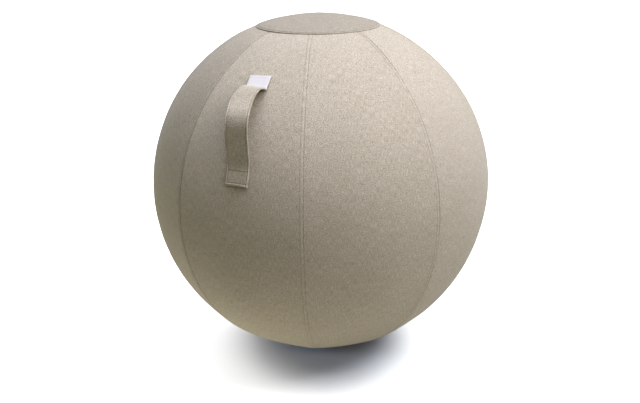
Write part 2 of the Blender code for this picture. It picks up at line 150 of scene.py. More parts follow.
def slab(name, outer, inner, uv, material, wrap=False, pole=False, sharp=None, painted_shading=None):
    """A closed sheet between two grids of points. Rows run along axis 0. wrap closes the
    columns into a ring, and pole closes the first row with a middle point."""
    r, c = outer.shape[:2]
    n = r * c
    ids_o = np.arange(n).reshape(r, c)
    ids_i = ids_o + n
    verts = [outer.reshape(-1, 3), inner.reshape(-1, 3)]
    uvs = [uv.reshape(-1, 2), uv.reshape(-1, 2)]
    painted_shading = np.zeros((r, c)) if painted_shading is None else np.broadcast_to(painted_shading, (r, c))
    deep = [painted_shading.ravel(), painted_shading.ravel()]
    quads = [grid_faces(ids_o, wrap)[:, ::-1], grid_faces(ids_i, wrap)]
    tris = []

    def wall(o, i, flip):
        q = np.stack([o[:-1], o[1:], i[1:], i[:-1]], -1)
        quads.append(q[:, ::-1] if flip else q)

    ring = (lambda x: np.append(x, x[0])) if wrap else (lambda x: x)
    wall(ring(ids_o[-1]), ring(ids_i[-1]), True)
    if pole:
        for ids, grid, flip in ((ids_o, outer, False), (ids_i, inner, True)):
            mid = sum(len(v) for v in verts)
            # the middle point goes on along the curve of the first two rings
            step = np.linalg.norm(grid[0, 0] - grid[0].mean(0)) / np.linalg.norm(grid[1, 0] - grid[1].mean(0))
            verts.append((grid[0].mean(0) - (grid[1].mean(0) - grid[0].mean(0)) * step**2 / max(1e-9, 1 - step**2))[None])
            uvs.append(uv[0].mean(0, keepdims=True))
            deep.append(np.zeros(1))
            a = ring(ids[0])
            t = np.stack([np.full(len(a) - 1, mid), a[:-1], a[1:]], -1)
            tris.append(t[:, ::-1] if flip else t)
    else:
        wall(ring(ids_o[0]), ring(ids_i[0]), False)
    if not wrap:
        wall(ids_o[:, 0], ids_i[:, 0], True)
        wall(ids_o[:, -1], ids_i[:, -1], False)
    ob = mesh_object(name, np.concatenate(verts), quads + tris, np.concatenate(uvs), material, sharp, np.concatenate(deep))
    face_out(ob)
    return ob


def face_out(ob):
    """Turns a closed mesh's faces outwards if its signed volume says that they face in."""
    me = ob.data
    me.calc_loop_triangles()
    tri = np.empty(len(me.loop_triangles) * 3, np.int32)
    me.loop_triangles.foreach_get("vertices", tri)
    co = np.empty(len(me.vertices) * 3, np.float32)
    me.vertices.foreach_get("co", co)
    p = co.reshape(-1, 3).astype(float)[tri.reshape(-1, 3)]
    p -= p.mean((0, 1))
    if np.einsum("ij,ij->i", p[:, 0], np.cross(p[:, 1], p[:, 2])).sum() < 0:
        me.flip_normals()


def stitches(name, at, along, normal, material, length=2.9 * MM, thick=0.27 * MM, sides=6):
    """Sewing stitches: short arched threads at given places, whose ends dive into the cloth."""
    at, along, normal = (np.asarray(a, float) for a in (at, along, normal))
    along = unit(along)
    normal = unit(normal - (normal * along).sum(-1, keepdims=True) * along)
    across = np.cross(along, normal)
    stations = np.array([-1, -0.6, 0, 0.6, 1]) * length / 2
    radii = np.array([0.5, 0.95, 1.0, 0.95, 0.5]) * thick
    heights = np.array([-1.5, -0.05, 0.3, -0.05, -1.5]) * thick
    ang = np.arange(sides) * 2 * np.pi / sides
    ring = radii[:, None] * np.cos(ang), radii[:, None] * np.sin(ang) + heights[:, None]
    local = np.stack([np.broadcast_to(stations[:, None], ring[0].shape), ring[0], ring[1]], -1).reshape(-1, 3)
    frame3 = np.stack([along, across, normal], -2)
    verts = at[:, None, :] + np.einsum("vk,nkx->nvx", local, frame3)
    per = len(local)
    ids = np.arange(per).reshape(len(stations), sides)
    quads = grid_faces(ids, True)
    ends = np.stack([ids[0][::-1], ids[-1]])
    base = (np.arange(len(at)) * per)[:, None, None]
    uv = np.stack([np.broadcast_to(stations[:, None], (len(stations), sides)), np.broadcast_to(ang / 6.3 * MM, (len(stations), sides))], -1).reshape(-1, 2)
    uv = np.tile(uv, (len(at), 1)) + np.repeat(np.arange(len(at)) * 0.0031, per)[:, None]
    ob = mesh_object(name, verts.reshape(-1, 3), [(quads[None] + base).reshape(-1, 4), (ends[None] + base).reshape(-1, sides)], uv, material)
    face_out(ob)
    return ob


# ------------------------------------------------------------------ materials
def nodes_of(name):
    m = bpy.data.materials.new(name)
    m.use_nodes = True
    t = m.node_tree
    return m, t, t.nodes["Principled BSDF"]


def add(tree, kind, inputs=None, **props):
    n = tree.nodes.new(kind)
    for k, v in props.items():
        setattr(n, k, v)
    for k, v in (inputs or {}).items():
        if isinstance(v, bpy.types.NodeSocket):
            tree.links.new(v, n.inputs[k])
        else:
            n.inputs[k].default_value = v
    return n


def scaled_uv(t, sx, sy, turn=0.0):
    uv = add(t, "ShaderNodeUVMap", uv_map="UVMap")
    return add(t, "ShaderNodeMapping", {"Vector": uv.outputs[0], "Rotation": (0, 0, turn), "Scale": (sx, sy, 1)}).outputs[0]


def noise(t, vec, detail=2.0, rough=0.55, scale=1.0):
    return add(t, "ShaderNodeTexNoise", {"Vector": vec, "Scale": scale, "Detail": detail, "Roughness": rough}).outputs["Fac"]


def math_node(t, op, a, b=0.0, c=0.0):
    return add(t, "ShaderNodeMath", {0: a, 1: b, 2: c}, operation=op).outputs[0]


def ramp(t, fac, stops):
    n = add(t, "ShaderNodeValToRGB", {"Fac": fac})
    e = n.color_ramp.elements
    while len(e) > 1:
        e.remove(e[-1])
    e[0].position, e[0].color = stops[0][0], (*stops[0][1], 1)
    for pos, col in stops[1:]:
        x = e.new(pos)
        x.color = (*col, 1)
    return n.outputs["Color"]


def cloth_material(name, tone=1.0, nap=0.0):
    """Heathered cloth: light and dark fibres along and across the panel, soft fuzz. nap is how far
    the fibres lean along the panel, in degrees: it turns the shading normal that much."""
    m, t, b = nodes_of(name)
    warp = noise(t, scaled_uv(t, 1500, 85), 2.0, 0.6)
    weft = noise(t, scaled_uv(t, 210, 1050), 2.0, 0.6)
    fleck = noise(t, scaled_uv(t, 1350, 470), 1.5, 0.5)
    mottle = noise(t, scaled_uv(t, 190, 110), 1.5, 0.5)
    soft = noise(t, scaled_uv(t, 52, 30), 1.5, 0.5)
    broad = noise(t, scaled_uv(t, 11, 9), 2.0, 0.5)
    mix = 0.0
    for part, share in ((fleck, 0.52), (warp, 0.35), (weft, 0.06), (mottle, 0.02), (soft, 0.02), (broad, 0.03)):
        mix = math_node(t, "MULTIPLY_ADD", part, share, mix)
    c = lambda r, g, bl: (r * tone, g * tone, bl * tone)
    pink = ramp(t, mix, [(0.377, c(0.190, 0.157, 0.108)), (0.461, c(0.305, 0.264, 0.198)), (0.539, c(0.412, 0.366, 0.293)), (0.627, c(0.565, 0.522, 0.445))])
    green = ramp(t, mix, [(0.377, c(0.178, 0.162, 0.108)), (0.461, c(0.288, 0.270, 0.198)), (0.539, c(0.394, 0.373, 0.293)), (0.627, c(0.547, 0.530, 0.445))])
    hue = noise(t, scaled_uv(t, 300, 190), 1.0, 0.5)
    which = add(t, "ShaderNodeMapRange", {"Value": hue, "From Min": 0.36, "From Max": 0.64}).outputs[0]
    col = add(t, "ShaderNodeMix", {0: which, 6: pink, 7: green}, data_type="RGBA").outputs[2]
    # painted shading: above 0 the colour is drawn darker, towards 0.34 of itself, as painted shade; below 0 it is drawn
    # lighter, up to 1.36 times, as a painted highlight
    deep = add(t, "ShaderNodeAttribute", attribute_type="GEOMETRY", attribute_name="painted_shading").outputs["Fac"]
    dark = add(t, "ShaderNodeMix", {0: 1.0, 6: col, 7: (0.34, 0.32, 0.28, 1)}, data_type="RGBA", blend_type="MULTIPLY").outputs[2]
    light = add(t, "ShaderNodeMix", {0: 1.0, 6: col, 7: (1.36, 1.35, 1.34, 1)}, data_type="RGBA", blend_type="MULTIPLY").outputs[2]
    col = add(t, "ShaderNodeMix", {0: deep, 6: col, 7: dark}, data_type="RGBA").outputs[2]
    col = add(t, "ShaderNodeMix", {0: math_node(t, "MULTIPLY", deep, -1.0), 6: col, 7: light}, data_type="RGBA").outputs[2]
    t.links.new(col, b.inputs["Base Color"])
    b.inputs["Roughness"].default_value = 0.92
    b.inputs["Specular IOR Level"].default_value = 0.15
    b.inputs["Sheen Weight"].default_value = 0.12
    b.inputs["Sheen Roughness"].default_value = 0.5
    b.inputs["Sheen Tint"].default_value = (1.0, 0.985, 0.97, 1)
    yarn = add(t, "ShaderNodeTexWave", {"Vector": scaled_uv(t, 1, 1), "Scale": 185.0, "Distortion": 1.2, "Detail": 1.5, "Detail Scale": 2.0}, wave_type="BANDS", bands_direction="X").outputs["Fac"]
    pick = add(t, "ShaderNodeTexWave", {"Vector": scaled_uv(t, 1, 1), "Scale": 165.0, "Distortion": 1.2, "Detail": 1.5, "Detail Scale": 2.0}, wave_type="BANDS", bands_direction="Y").outputs["Fac"]
    relief = math_node(t, "MULTIPLY_ADD", yarn, 0.35, math_node(t, "MULTIPLY_ADD", pick, 0.3, math_node(t, "MULTIPLY", mix, 1.1)))
    bump = add(t, "ShaderNodeBump", {"Height": relief, "Strength": 0.5, "Distance": 0.0005})
    if nap:
        lean = add(t, "ShaderNodeNormalMap", {"Color": (0.5, 0.5 + 0.5 * math.sin(RAD(nap)), 0.5 + 0.5 * math.cos(RAD(nap)), 1)}, space="TANGENT", uv_map="UVMap")
        t.links.new(lean.outputs[0], bump.inputs["Normal"])
    t.links.new(bump.outputs[0], b.inputs["Normal"])
    return m


def thread_material(name, colour):
    m, t, b = nodes_of(name)
    twist = add(t, "ShaderNodeTexWave", {"Vector": scaled_uv(t, 1, 1, 0.7), "Scale": 420.0, "Distortion": 0.6}, wave_type="BANDS", bands_direction="DIAGONAL").outputs["Fac"]
    lo = tuple(x * 0.72 for x in colour)
    t.links.new(ramp(t, twist, [(0.2, lo), (0.75, colour)]), b.inputs["Base Color"])
    b.inputs["Roughness"].default_value = 0.7
    b.inputs["Sheen Weight"].default_value = 0.15
    bump = add(t, "ShaderNodeBump", {"Height": twist, "Strength": 0.4, "Distance": 0.0001})
    t.links.new(bump.outputs[0], b.inputs["Normal"])
    return m


CLOTH = cloth_material("melange_cloth")
# the panels are cut from the cloth at slightly different ways of its nap
PANELS = [cloth_material(f"melange_cloth_panel_{n + 1}", tone, nap) for n, (tone, nap) in enumerate([(1.02, -3.2), (0.985, -3.0), (1.0, -0.6), (0.98, 2.8)])]
# the cap's cloth is drawn at 0.73 of the tone: partly painted shade on the ball's up-facing top, partly the cap's own
# nap
CLOTH_CAP = cloth_material("melange_cloth_cap", 0.73)
THREAD = thread_material("sewing_thread", (0.38, 0.335, 0.262))
WHITE_THREAD = thread_material("white_thread", (0.80, 0.80, 0.80))


# ------------------------------------------------------------------ the sewn gores
def wander(x, seed, wave):
    """A smooth irregular line made of a few sines, about -1 to 1."""
    a = np.sin(2 * np.pi * x / wave + seed * 2.1)
    b = np.sin(2 * np.pi * x / (wave * 0.617) + seed * 4.7 + 1.3)
    c = np.sin(2 * np.pi * x / (wave * 1.71) + seed * 1.3 + 0.4)
    return (a + 0.7 * b + 0.8 * c) / 2.0


# how tight each seam is pulled and how dark its painted shade is, from the one at azimuth 0 round to the left
SEAM_PULL = [0.75, 1.45, 1.2, 1.3, 1.15, 1.35, 1.25, 2.1]
# how much darker the painted shade of the seam line and its row is drawn towards the cap
CAP_SHADE_GAIN = [1.0, 2.6, 1.3, 1.8, 1.2, 1.6, 1.4, 0.2]


def seam_relief(d, v, seed, sewn):
    """Height of the cloth at a distance d from a plain seam. The allowances are folded to the
    sewn side and topstitched there, which leaves a low puffed strip between seam and stitches."""
    tight = SEAM_PULL[int(seed)]
    h = -0.26 * tight * bell(d, 0, 0.6 * MM) - 0.45 * max(0, tight - 1) * bell(d, 0, 3.6 * MM)
    if sewn:
        h = h + 0.13 * smooth(d / (1.6 * MM)) * (1 - smooth((d - 7.5 * MM) / (3.5 * MM)))
        h = h + 0.09 * bell(d, 3.0 * MM, 1.7 * MM) - 0.34 * bell(d, STITCH_ROW, 0.75 * MM)
    else:
        h = h + 0.20 * bell(d, 2.2 * MM, 1.2 * MM) - 0.10 * np.exp(-d / (4 * MM))
    pucker = 0.15 * wander(v, seed, 17 * MM) + 0.09 * wander(v, seed + 3.0 * sewn, 9 * MM)
    h = h + pucker * np.exp(-np.maximum(0, d - 3 * MM) / (9 * MM)) * smooth(d / (2 * MM))
    return h * MM


def seam_painted_shade(d, v, seed, sewn):
    """Painted shade in the seam line's groove and along the dipped row of stitches beside it, darker towards the cap.
    """
    deep = 0.18 * SEAM_PULL[int(seed)] * bell(d, 0, 0.85 * MM)
    if sewn:
        deep = deep + 0.20 * bell(d, STITCH_ROW, 0.8 * MM)
    near_cap = 1 + CAP_SHADE_GAIN[int(seed)] * (1 - smooth((v / R - RAD(22)) / RAD(24)))
    return deep * near_cap * (1 + 0.25 * wander(v, seed + 5, 13 * MM))


def zip_relief(d, v, seed):
    """Beside the zip the cloth is folded under at the edge and topstitched."""
    h = -1.1 * bell(d, 0, 0.7 * MM) + 0.35 * bell(d, 1.5 * MM, 1.1 * MM) - 0.6 * bell(d, 3.2 * MM, 0.8 * MM)
    h = h + 0.3 * (1 - smooth((d - 8.0 * MM) / (4.0 * MM)))
    h = h + (0.14 * wander(v, seed, 15 * MM)) * np.exp(-d / (9 * MM))
    return h * MM


def crown(t):
    """The ball's top stands a little over the true sphere."""
    return CROWN * (1 - smooth((np.asarray(t) - RAD(16)) / RAD(26)))


def ridge(d, t):
    """The folded layers along a seam stand proud, so that each panel is a little flatter across
    than the ball. It dies away at the cap and the base."""
    ends = smooth((t - GORE_TOP) / RAD(9)) * smooth((GORE_END - t) / RAD(9))
    return RIDGE * bell(d, 0, 26 * MM) * ends


def zip_open(t):
    """1 along the zip's slit, 0 on the closed seam above and below it."""
    ramp_ = RAD(1.3)
    return smooth((t - (ZIP_TOP - ramp_)) / ramp_) * smooth((ZIP_BOTTOM + ramp_ - t) / ramp_)


def zip_near(t):
    """1 along the zip, easing off over a hand's breadth of the plain seam above and below it."""
    reach, ends = RAD(13), RAD(1.5)
    return smooth((t - (ZIP_TOP - reach)) / (reach - ends)) * smooth((ZIP_BOTTOM + reach - t) / (reach - ends))


NEAR = np.array([0, 0.3, 0.65, 1.1, 1.7, 2.4, 3.2, 4.0, 4.7, 5.2, 5.6, 6.0, 6.4, 6.8, 7.4, 8.4, 10.5, 13, 16.5]) * MM
ROWS = 226
GORE_END = math.pi - math.asin(RIM_R / R)
rows_t = GORE_TOP + (GORE_END - GORE_TOP) * np.linspace(0, 1, ROWS)
# closer rows where the slit for the zip opens and closes
rows_t = np.unique(np.concatenate([rows_t, ZIP_TOP - RAD(1.3) * np.linspace(0, 1, 8), ZIP_BOTTOM + RAD(1.3) * np.linspace(0, 1, 8)]))
ROWS = len(rows_t)


def gore(k):
    left, right = RAD(45.0 * (k - 1)), RAD(45.0 * k)
    t = rows_t[:, None]
    ring = R * np.sin(t)
    zl = zip_open(t) if abs(left - ZIP_SEAM) < 0.01 else np.zeros_like(t)
    zr = zip_open(t) if abs(right - ZIP_SEAM) < 0.01 else np.zeros_like(t)
    gap = 0.01 * MM
    from_l = gap + (SLIT - gap) * zl
    from_r = gap + (SLIT - gap) * zr
    width = ring * (right - left) - from_l - from_r
    near = np.broadcast_to(NEAR[None], (ROWS, len(NEAR)))
    mid_n = 11
    f = (np.arange(mid_n) + 1) / (mid_n + 1)
    mid = NEAR[-1] + (width - 2 * NEAR[-1]) * f[None]
    x = np.concatenate([near, mid, width - near[:, ::-1]], 1)      # distance from the left edge
    phi = left + (from_l + x) / ring
    v = R * t + 0 * x
    seed_l, seed_r = (k - 1) % 8, k % 8
    dl, dr = x, width - x
    h = seam_relief(dl, v, seed_l, False) * (1 - zl) + zip_relief(dl, v, seed_l) * zl
    h = h + seam_relief(dr, v, seed_r, True) * (1 - zr) + zip_relief(dr, v, seed_r) * zr
    # painted shade along the seam lines and their stitch rows, none along the zip's slit
    painted_shading = seam_painted_shade(dl, v, seed_l, False) * (1 - zl) + seam_painted_shade(dr, v, seed_r, True) * (1 - zr)
    # the ridge is gone where the cloth lies down beside the zip
    h = h + ridge(dl + from_l, t) * (1 - zip_near(t) * (zl.max() > 0)) + ridge(dr + from_r, t) * (1 - zip_near(t) * (zr.max() > 0))
    h = h + 0.22 * MM * wander(v + 0.35 * x, k * 1.7, 0.12) * wander(x - 0.2 * v, k * 0.9 + 2, 0.10)
    from_end = R * (GORE_END - t)
    h = h - 1.2 * MM * bell(from_end, 0, 0.9 * MM) - 0.5 * MM * bell(from_end, STITCH_ROW, 0.9 * MM) + 0.3 * MM * bell(from_end, 2.8 * MM, 1.6 * MM)
    n = out_dir(t + 0 * x, phi)
    outer = CENTRE + n * (R + crown(t) + h)[..., None]
    inner = CENTRE + n * (R + crown(t) - 2.0 * MM + np.minimum(h, 0) * 0.2)[..., None]
    # keep the lower edge outside the base disc's upright rim
    low = outer[-1], inner[-1]
    for row in low:
        flat = np.linalg.norm(row[:, :2], axis=1, keepdims=True)
        row[:, :2] *= RIM_R / flat
    uv = np.stack([(phi - (left + right) / 2) * ring, v], -1)
    ob = slab(f"gore_{k + 1}_cloth", outer, inner, uv, PANELS[k % 4], painted_shading=np.clip(painted_shading, -1, 1))
    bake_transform(ob)
    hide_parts(f"cover_gore_{k + 1}")
    return ob


for k in range(8):
    gore(k)


def seam_threads(j):
    """The row of topstitching along one seam, and along both sides of the zip."""
    phi0 = RAD(45.0 * j)
    is_zip = abs(phi0 - ZIP_SEAM) < 0.01
    first, last = CAP + 2.2 * MM / R, GORE_END - 2.5 * MM / R
    n = int((last - first) * R / STITCH_PITCH)
    t = first + (last - first) * (np.arange(n) + 0.5) / n
    at, along, normal = [], [], []
    for side in (-1, 1):
        z = zip_open(t) if is_zip else np.zeros(n)
        if side > 0:
            if not is_zip:
                continue
            keep_t = z > 0.97
            t, z = t[keep_t], z[keep_t]
        d = STITCH_ROW + (SLIT + 3.2 * MM - STITCH_ROW) * z
        p = phi0 + side * d / (R * np.sin(t))
        nn = out_dir(t, p)
        bed = seam_relief(np.full(n if side < 0 else len(t), STITCH_ROW), R * t, j, True) * (1 - z) - 0.25 * MM * z
        pos = CENTRE + nn * (R + crown(t) + ridge(d, t) * (1 - zip_near(t) * is_zip) + bed + 0.10 * MM)[:, None]
        step = np.gradient(pos, axis=0)
        at.append(pos), along.append(step), normal.append(nn)
    ob = stitches(f"seam_{j + 1}_topstitch", np.concatenate(at), np.concatenate(along), np.concatenate(normal), THREAD)
    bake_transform(ob)


for j in range(8):
    seam_threads(j)


# ------------------------------------------------------------------ top cap
def cap_relief(t, p):
    """Lift of the cap over the gores' ends, its folded rim, stitch row and the seams under it."""
    e = R * (CAP - t)
    lift = 1.5 * smooth((t - RAD(12.5)) / RAD(6.7))
    h = lift + 0.3 * bell(e, 1.6 * MM, 1.3 * MM) - 0.6 * bell(e, 3.9 * MM, 0.8 * MM) + 0.25 * bell(e, 6.5 * MM, 2.2 * MM)
    over = np.zeros_like(h)
    for j in range(8):
        gapped = (p - RAD(45 * j) + np.pi) % (2 * np.pi) - np.pi
        over = over + bell(gapped * R * np.sin(t), 0, 8 * MM)
    h = h + 0.45 * over * np.exp(-np.maximum(e, 0) / (9 * MM))
    h = h + 0.10 * wander(p * R * np.sin(CAP), 3.0, 0.0205) * np.exp(-np.maximum(e, 0) / (8 * MM))
    return h * MM


cols = 320
p = np.arange(cols) * 2 * np.pi / cols
edge = np.array([0.0, 0.25, 0.6, 1.0, 1.5, 2.1, 2.8, 3.3, 3.7, 4.1, 4.5, 5.2, 6.2, 7.6, 9.5, 12, 15, 19, 24, 30, 37, 45, 54, 64, 75, 87, 100, 110]) * MM
t = (CAP - edge / R)[::-1][:, None]
P = p[None] + 0 * t
h = cap_relief(t + 0 * P, P)
# the rim is a fold: its outermost points turn down to the gores
turn = np.clip((R * (CAP - t)) / (1.5 * MM), 0, 1)
round_off = 1.35 * MM * (1 - np.sqrt(np.clip(1 - (1 - turn) ** 2, 0, 1)))
n = out_dir(t + 0 * P, P)
outer = CENTRE + n * (R + crown(t) + h - round_off)[..., None]
inside_h = np.where(t > GORE_TOP - RAD(0.3), 0.10 * MM, h - 1.9 * MM)
inside_h = np.minimum(inside_h + 0 * P, h - round_off - 0.4 * MM)
inner = CENTRE + n * (R + crown(t) + inside_h)[..., None]
uv = np.stack([R * np.sin(t) * np.cos(P), R * np.sin(t) * np.sin(P)], -1)
from_edge = R * (CAP - t) + 0 * P
# painted shading on the cap: painted shade along its stitch row, and a painted highlight along its folded rim
cap = slab("top_cap_cloth", outer, inner, uv, CLOTH_CAP, wrap=True, pole=True, painted_shading=0.38 * bell(from_edge, 3.9 * MM, 0.7 * MM) - 0.7 * bell(from_edge, 1.7 * MM, 1.0 * MM))
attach(cap, "ball")
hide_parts("top_cap")

n_st = int(2 * np.pi * R * math.sin(CAP) / STITCH_PITCH)
ps = np.arange(n_st) * 2 * np.pi / n_st
ts = np.full(n_st, CAP - 3.9 * MM / R)
nn = out_dir(ts, ps)
hs = cap_relief(ts, ps)
pos = CENTRE + nn * (R + crown(ts) + hs + 0.12 * MM)[:, None]
ring_st = stitches("top_cap_topstitch", pos, side_dir(ps), nn, THREAD)
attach(ring_st, "ball")


# ------------------------------------------------------------------ carrying strap and its tab
STRAP_W, STRAP_T = 42 * MM, 3.4 * MM
MID_T, MID_P, LEAN = RAD(60.5), RAD(-21.66), RAD(1.24)
START, TOP_TAIL, SPAN, LOW_TAIL = RAD(-14.58), 26 * MM, 147 * MM, 29.0 * MM
strap_n = out_dir(MID_T, MID_P)
strap_t = math.cos(LEAN) * down_dir(MID_T, MID_P) + math.sin(LEAN) * side_dir(MID_P)
strap_b = -math.sin(LEAN) * down_dir(MID_T, MID_P) + math.cos(LEAN) * side_dir(MID_P)
pull_dir = out_dir(RAD(56.3), MID_P)


def strap_frame(s, level):
    """Points and axes at arc length s from the upper stitch line and a level over the ball."""
    a = START + np.asarray(s, float) / R
    up = np.cos(a)[..., None] * strap_n + np.sin(a)[..., None] * strap_t
    fwd = -np.sin(a)[..., None] * strap_n + np.cos(a)[..., None] * strap_t
    return CENTRE + up * (R + np.asarray(level, float))[..., None], up, fwd


def skew(q):
    """How far the strap's right edge runs ahead of its middle along the strap, for a length q along
    it: its upper stitch line and its lower end are sewn a little askew."""
    top = np.interp(q, [0, TOP_TAIL, TOP_TAIL + 3 * MM], np.array([-0.6, 1.9, 1.9]) * MM)
    top = top - 3.0 * MM * smooth((q - TOP_TAIL - 5 * MM) / (22 * MM)) + 1.1 * MM * smooth((q - TOP_TAIL - 30 * MM) / (60 * MM))
    low = np.interp(q, [STRAP_LEN - 60 * MM, STRAP_LEN - 25 * MM, STRAP_LEN], np.array([0, 0.4, 1.0]) * MM)
    return top + low


def taper(q):
    """The strap is a little wider where it is free than under the tab."""
    return 1 + 0.080 * smooth((q - TOP_TAIL) / (60 * MM)) - 0.015 * smooth((q - TOP_TAIL - 60 * MM) / (90 * MM))


def sway(q):
    """The free bow sways a few millimetres sideways: to the left where it rises, back to the right
    where it turns over. Its edges wave a little too, as sewn by hand."""
    return -4.0 * MM * bell(q, 68 * MM, 26 * MM) + 3.3 * MM * bell(q, 120 * MM, 28 * MM) + 0.35 * MM * wander(q, 2.0, 0.06)


def strap_bow(lie):
    """(s, level) along the free bow. It stands up steeply from the upper stitch line, turns over
    at a shoulder, and falls straight to the lower stitch line, where it lies along the ball again.
    Each stretch has a length and the slope that the strap's face has at its end, in degrees up."""
    slope, facing, run_ = 132.0, [], []
    lowest = 90 - math.degrees(MID_T) - math.degrees(START + SPAN / R)
    for length, ends in ((34.5, 57.0), (28.0, 57.0), (63.5, -8.3), (35.5, -8.3), (19.5, lowest)):
        x = np.linspace(0, 1, 120)[1:]
        # the first turn is quickest at the stitch line, the others are eased at both ends
        facing.append(slope + (ends - slope) * (smooth(x) if facing else 1 - (1 - x) ** 1.6))
        run_.append(np.full(119, length * MM / 119))
        slope = ends
    a = math.pi / 2 - MID_T - np.radians(np.concatenate(facing))
    step = np.concatenate(run_)
    x = (R + lie) * math.cos(START) + np.cumsum(-np.sin(a) * step)
    y = (R + lie) * math.sin(START) + np.cumsum(np.cos(a) * step)
    bow = np.stack([(np.arctan2(y, x) - START) * R, np.hypot(x, y) - R], 1)
    # close the last fraction of a millimetre evenly along the bow
    along_it = np.cumsum(step)[:, None] / step.sum()
    return bow + along_it * (np.array([SPAN, lie]) - bow[-1])


def strap_centre():
    """(s, level) of the strap's middle layer, evenly spaced along its length."""
    lie = 0.35 * MM + STRAP_T / 2
    bow = strap_bow(lie)
    top = np.stack([np.linspace(-TOP_TAIL, 0, 40), np.full(40, lie)], 1)
    low = np.stack([np.linspace(SPAN, SPAN + LOW_TAIL, 60)[1:], np.full(59, lie)], 1)
    path = np.concatenate([top, bow, low])
    # round the corner where the strap leaves its upper stitch line
    for _ in range(30):
        path[1:-1] = path[1:-1] * 0.5 + (path[:-2] + path[2:]) * 0.25
    run = np.concatenate([[0], np.cumsum(np.linalg.norm(np.diff(path, axis=0), axis=1))])
    return path, run


path, run = strap_centre()
STRAP_LEN = float(run[-1])
box_low, box_high = STRAP_LEN - 5.0 * MM, STRAP_LEN - 25.7 * MM
fine = np.concatenate([
    np.linspace(0, STRAP_LEN - 30 * MM, 130)[:-1], np.linspace(STRAP_LEN - 30 * MM, STRAP_LEN - 24 * MM, 16)[:-1],
    np.linspace(STRAP_LEN - 24 * MM, STRAP_LEN - 8 * MM, 12)[:-1], np.linspace(STRAP_LEN - 8 * MM, STRAP_LEN - 2.2 * MM, 16)[:-1],
    STRAP_LEN - 2.2 * MM * np.cos(np.linspace(0, np.pi / 2, 8)),
])
ps_s, ps_h = np.interp(fine, run, path[:, 0]), np.interp(fine, run, path[:, 1])
half = STRAP_W / 2
xs = half * np.array([-1, -0.997, -0.988, -0.972, -0.95, -0.925, -0.895, -0.868, -0.846, -0.826, -0.80, -0.765, -0.70, -0.6, -0.45, -0.25, 0, 0.25, 0.45, 0.6, 0.70, 0.765, 0.80, 0.826, 0.846, 0.868, 0.895, 0.925, 0.95, 0.972, 0.988, 0.997, 1])
EDGE_ROW = half - 3.3 * MM


def strap_half(x, q, top):
    """Half thickness of the strap across its width and along its length."""
    edge = np.clip((half - np.abs(x)) / (1.7 * MM), 0, 1)
    body = STRAP_T / 2 * np.sqrt(np.clip(1 - (1 - edge) ** 2, 0, 1))
    dip = 0.95 if top else 0.5
    h = body - dip * MM * bell(np.abs(x), EDGE_ROW, 0.75 * MM) * smooth((half - np.abs(x)) / (1.2 * MM))
    h = h + 0.25 * MM * bell(np.abs(x), half - 1.4 * MM, 1.0 * MM) * edge
    inside = smooth((EDGE_ROW + 0.6 * MM - np.abs(x)) / (1.0 * MM))
    for row in (box_low, box_high):
        h = h - dip * MM * bell(q, row, 0.8 * MM) * inside
    h = h - 0.45 * MM * inside * smooth((q - box_high) / (1.5 * MM)) * smooth((box_low - q) / (1.5 * MM))
    if top:
        h = h + 1.3 * MM * edge * smooth((q - box_high) / (STRAP_LEN - box_high))
    end = np.clip((STRAP_LEN - q) / (2.2 * MM), 0, 1)
    h = h * np.sqrt(np.clip(1 - (1 - end) ** 2, 0.0025, 1))
    h = h + 0.35 * MM * bell(q, STRAP_LEN - 2.6 * MM, 1.4 * MM) * edge
    return h + 0.08 * MM * wander(q, 1.0 if top else 4.0, 21 * MM) * edge * end


X, Q = np.broadcast_arrays(xs[None], fine[:, None])
centre, up, fwd = strap_frame(ps_s[:, None] + skew(Q) * X / half, ps_h[:, None] + 0 * X)
cross = centre + (X * taper(Q) + sway(Q))[..., None] * strap_b
face_n = unit(np.cross(np.gradient(cross, axis=1), np.gradient(cross, axis=0)))
face_n = face_n * np.sign((face_n * up).sum(-1).mean())
outer = cross + face_n * strap_half(X, Q, True)[..., None]
inner = cross - face_n * strap_half(X, Q, False)[..., None]
in_row = bell(np.abs(X), EDGE_ROW, 0.7 * MM) * (Q < box_low)
for row in (box_low, box_high):
    in_row = np.maximum(in_row, bell(Q, row, 0.7 * MM) * (np.abs(X) < EDGE_ROW))
at_edge = smooth((np.abs(X) - half + 2.0 * MM) / (1.2 * MM))
# painted shading on the strap: painted shade along its stitch rows, deeper inside the box, and along its rounded edges,
# and a painted highlight just inside the box's upper row, drawn lighter as if the cloth stood up there
box_top_highlight = 0.38 * bell(Q, box_high + 2.2 * MM, 0.9 * MM) * (np.abs(X) < EDGE_ROW - 1.0 * MM)
strap = slab("strap_cloth", outer, inner, np.stack([X, Q], -1), CLOTH, painted_shading=(0.28 + 0.14 * (Q > box_high + 1.5 * MM)) * in_row + 0.26 * at_edge - box_top_highlight)
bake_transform(strap)
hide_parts("handle_strap")


def on_strap(q, x, top=True, lift=0.0):
    """A point, its lengthwise direction and its normal on the strap's face."""
    q, x = np.broadcast_arrays(np.asarray(q, float), np.asarray(x, float))
    ahead = skew(q) * x / half
    s, hgt = np.interp(q, run, path[:, 0]), np.interp(q, run, path[:, 1])
    c, u, f = strap_frame(s + ahead, hgt)
    c2, u2, f2 = strap_frame(np.interp(q + 0.4 * MM, run, path[:, 0]) + ahead, np.interp(q + 0.4 * MM, run, path[:, 1]))
    lengthwise = unit(c2 - c)
    nrm = unit(np.cross(strap_b, lengthwise))
    nrm = nrm * np.sign((nrm * u).sum(-1, keepdims=True) + 1e-9)
    return c + (x * taper(q) + sway(q))[..., None] * strap_b + nrm * (strap_half(x, q, top) + lift)[..., None], lengthwise, nrm


